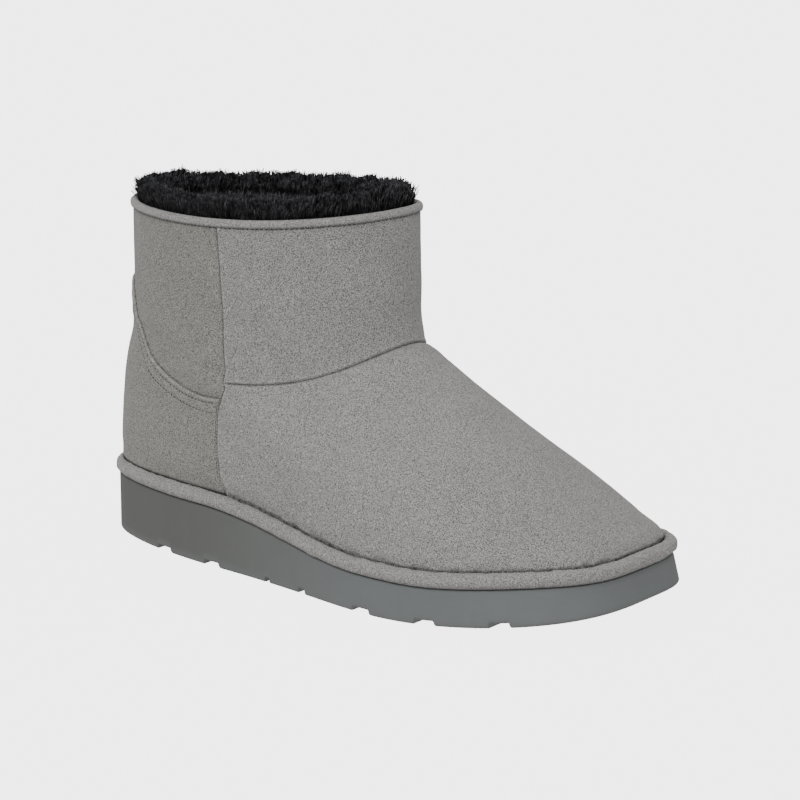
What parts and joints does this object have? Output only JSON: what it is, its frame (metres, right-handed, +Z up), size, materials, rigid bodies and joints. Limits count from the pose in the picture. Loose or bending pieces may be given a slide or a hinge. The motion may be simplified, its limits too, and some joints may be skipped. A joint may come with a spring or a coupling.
{
  "type": "winter boot",
  "caption": "Low pull-on suede winter boot, right foot, with a fur-lined collar, rolled welt, heel counter and thick foam-rubber sole with cross grooves.",
  "frame": {"origin": "on the ground, under the middle of the boot's bounding box", "axes": "+X towards the toe, +Y towards the inner side of the foot, +Z up"},
  "size_m": [0.2878, 0.1192, 0.1745],
  "materials": {
    "outsole": "matte moulded foam rubber, smooth wall",
    "welt": "felted cloth wrapped round a cord",
    "upper": "napped suede, warm grey",
    "heel_counter": "napped suede patch with two stitch rows",
    "collar_binding": "felted cloth tape, folded over the top line",
    "fur_lining": "deep black pile with tufted tips",
    "insole": "short dark pile on a soft board"
  },
  "bodies": {
    "root": {"outsole": "outsole", "welt": "welt", "upper": "upper", "heel_counter": "heel_counter", "collar_binding": "collar_binding", "fur_lining": "fur_lining", "insole": "insole"}
  },
  "joints": []
}
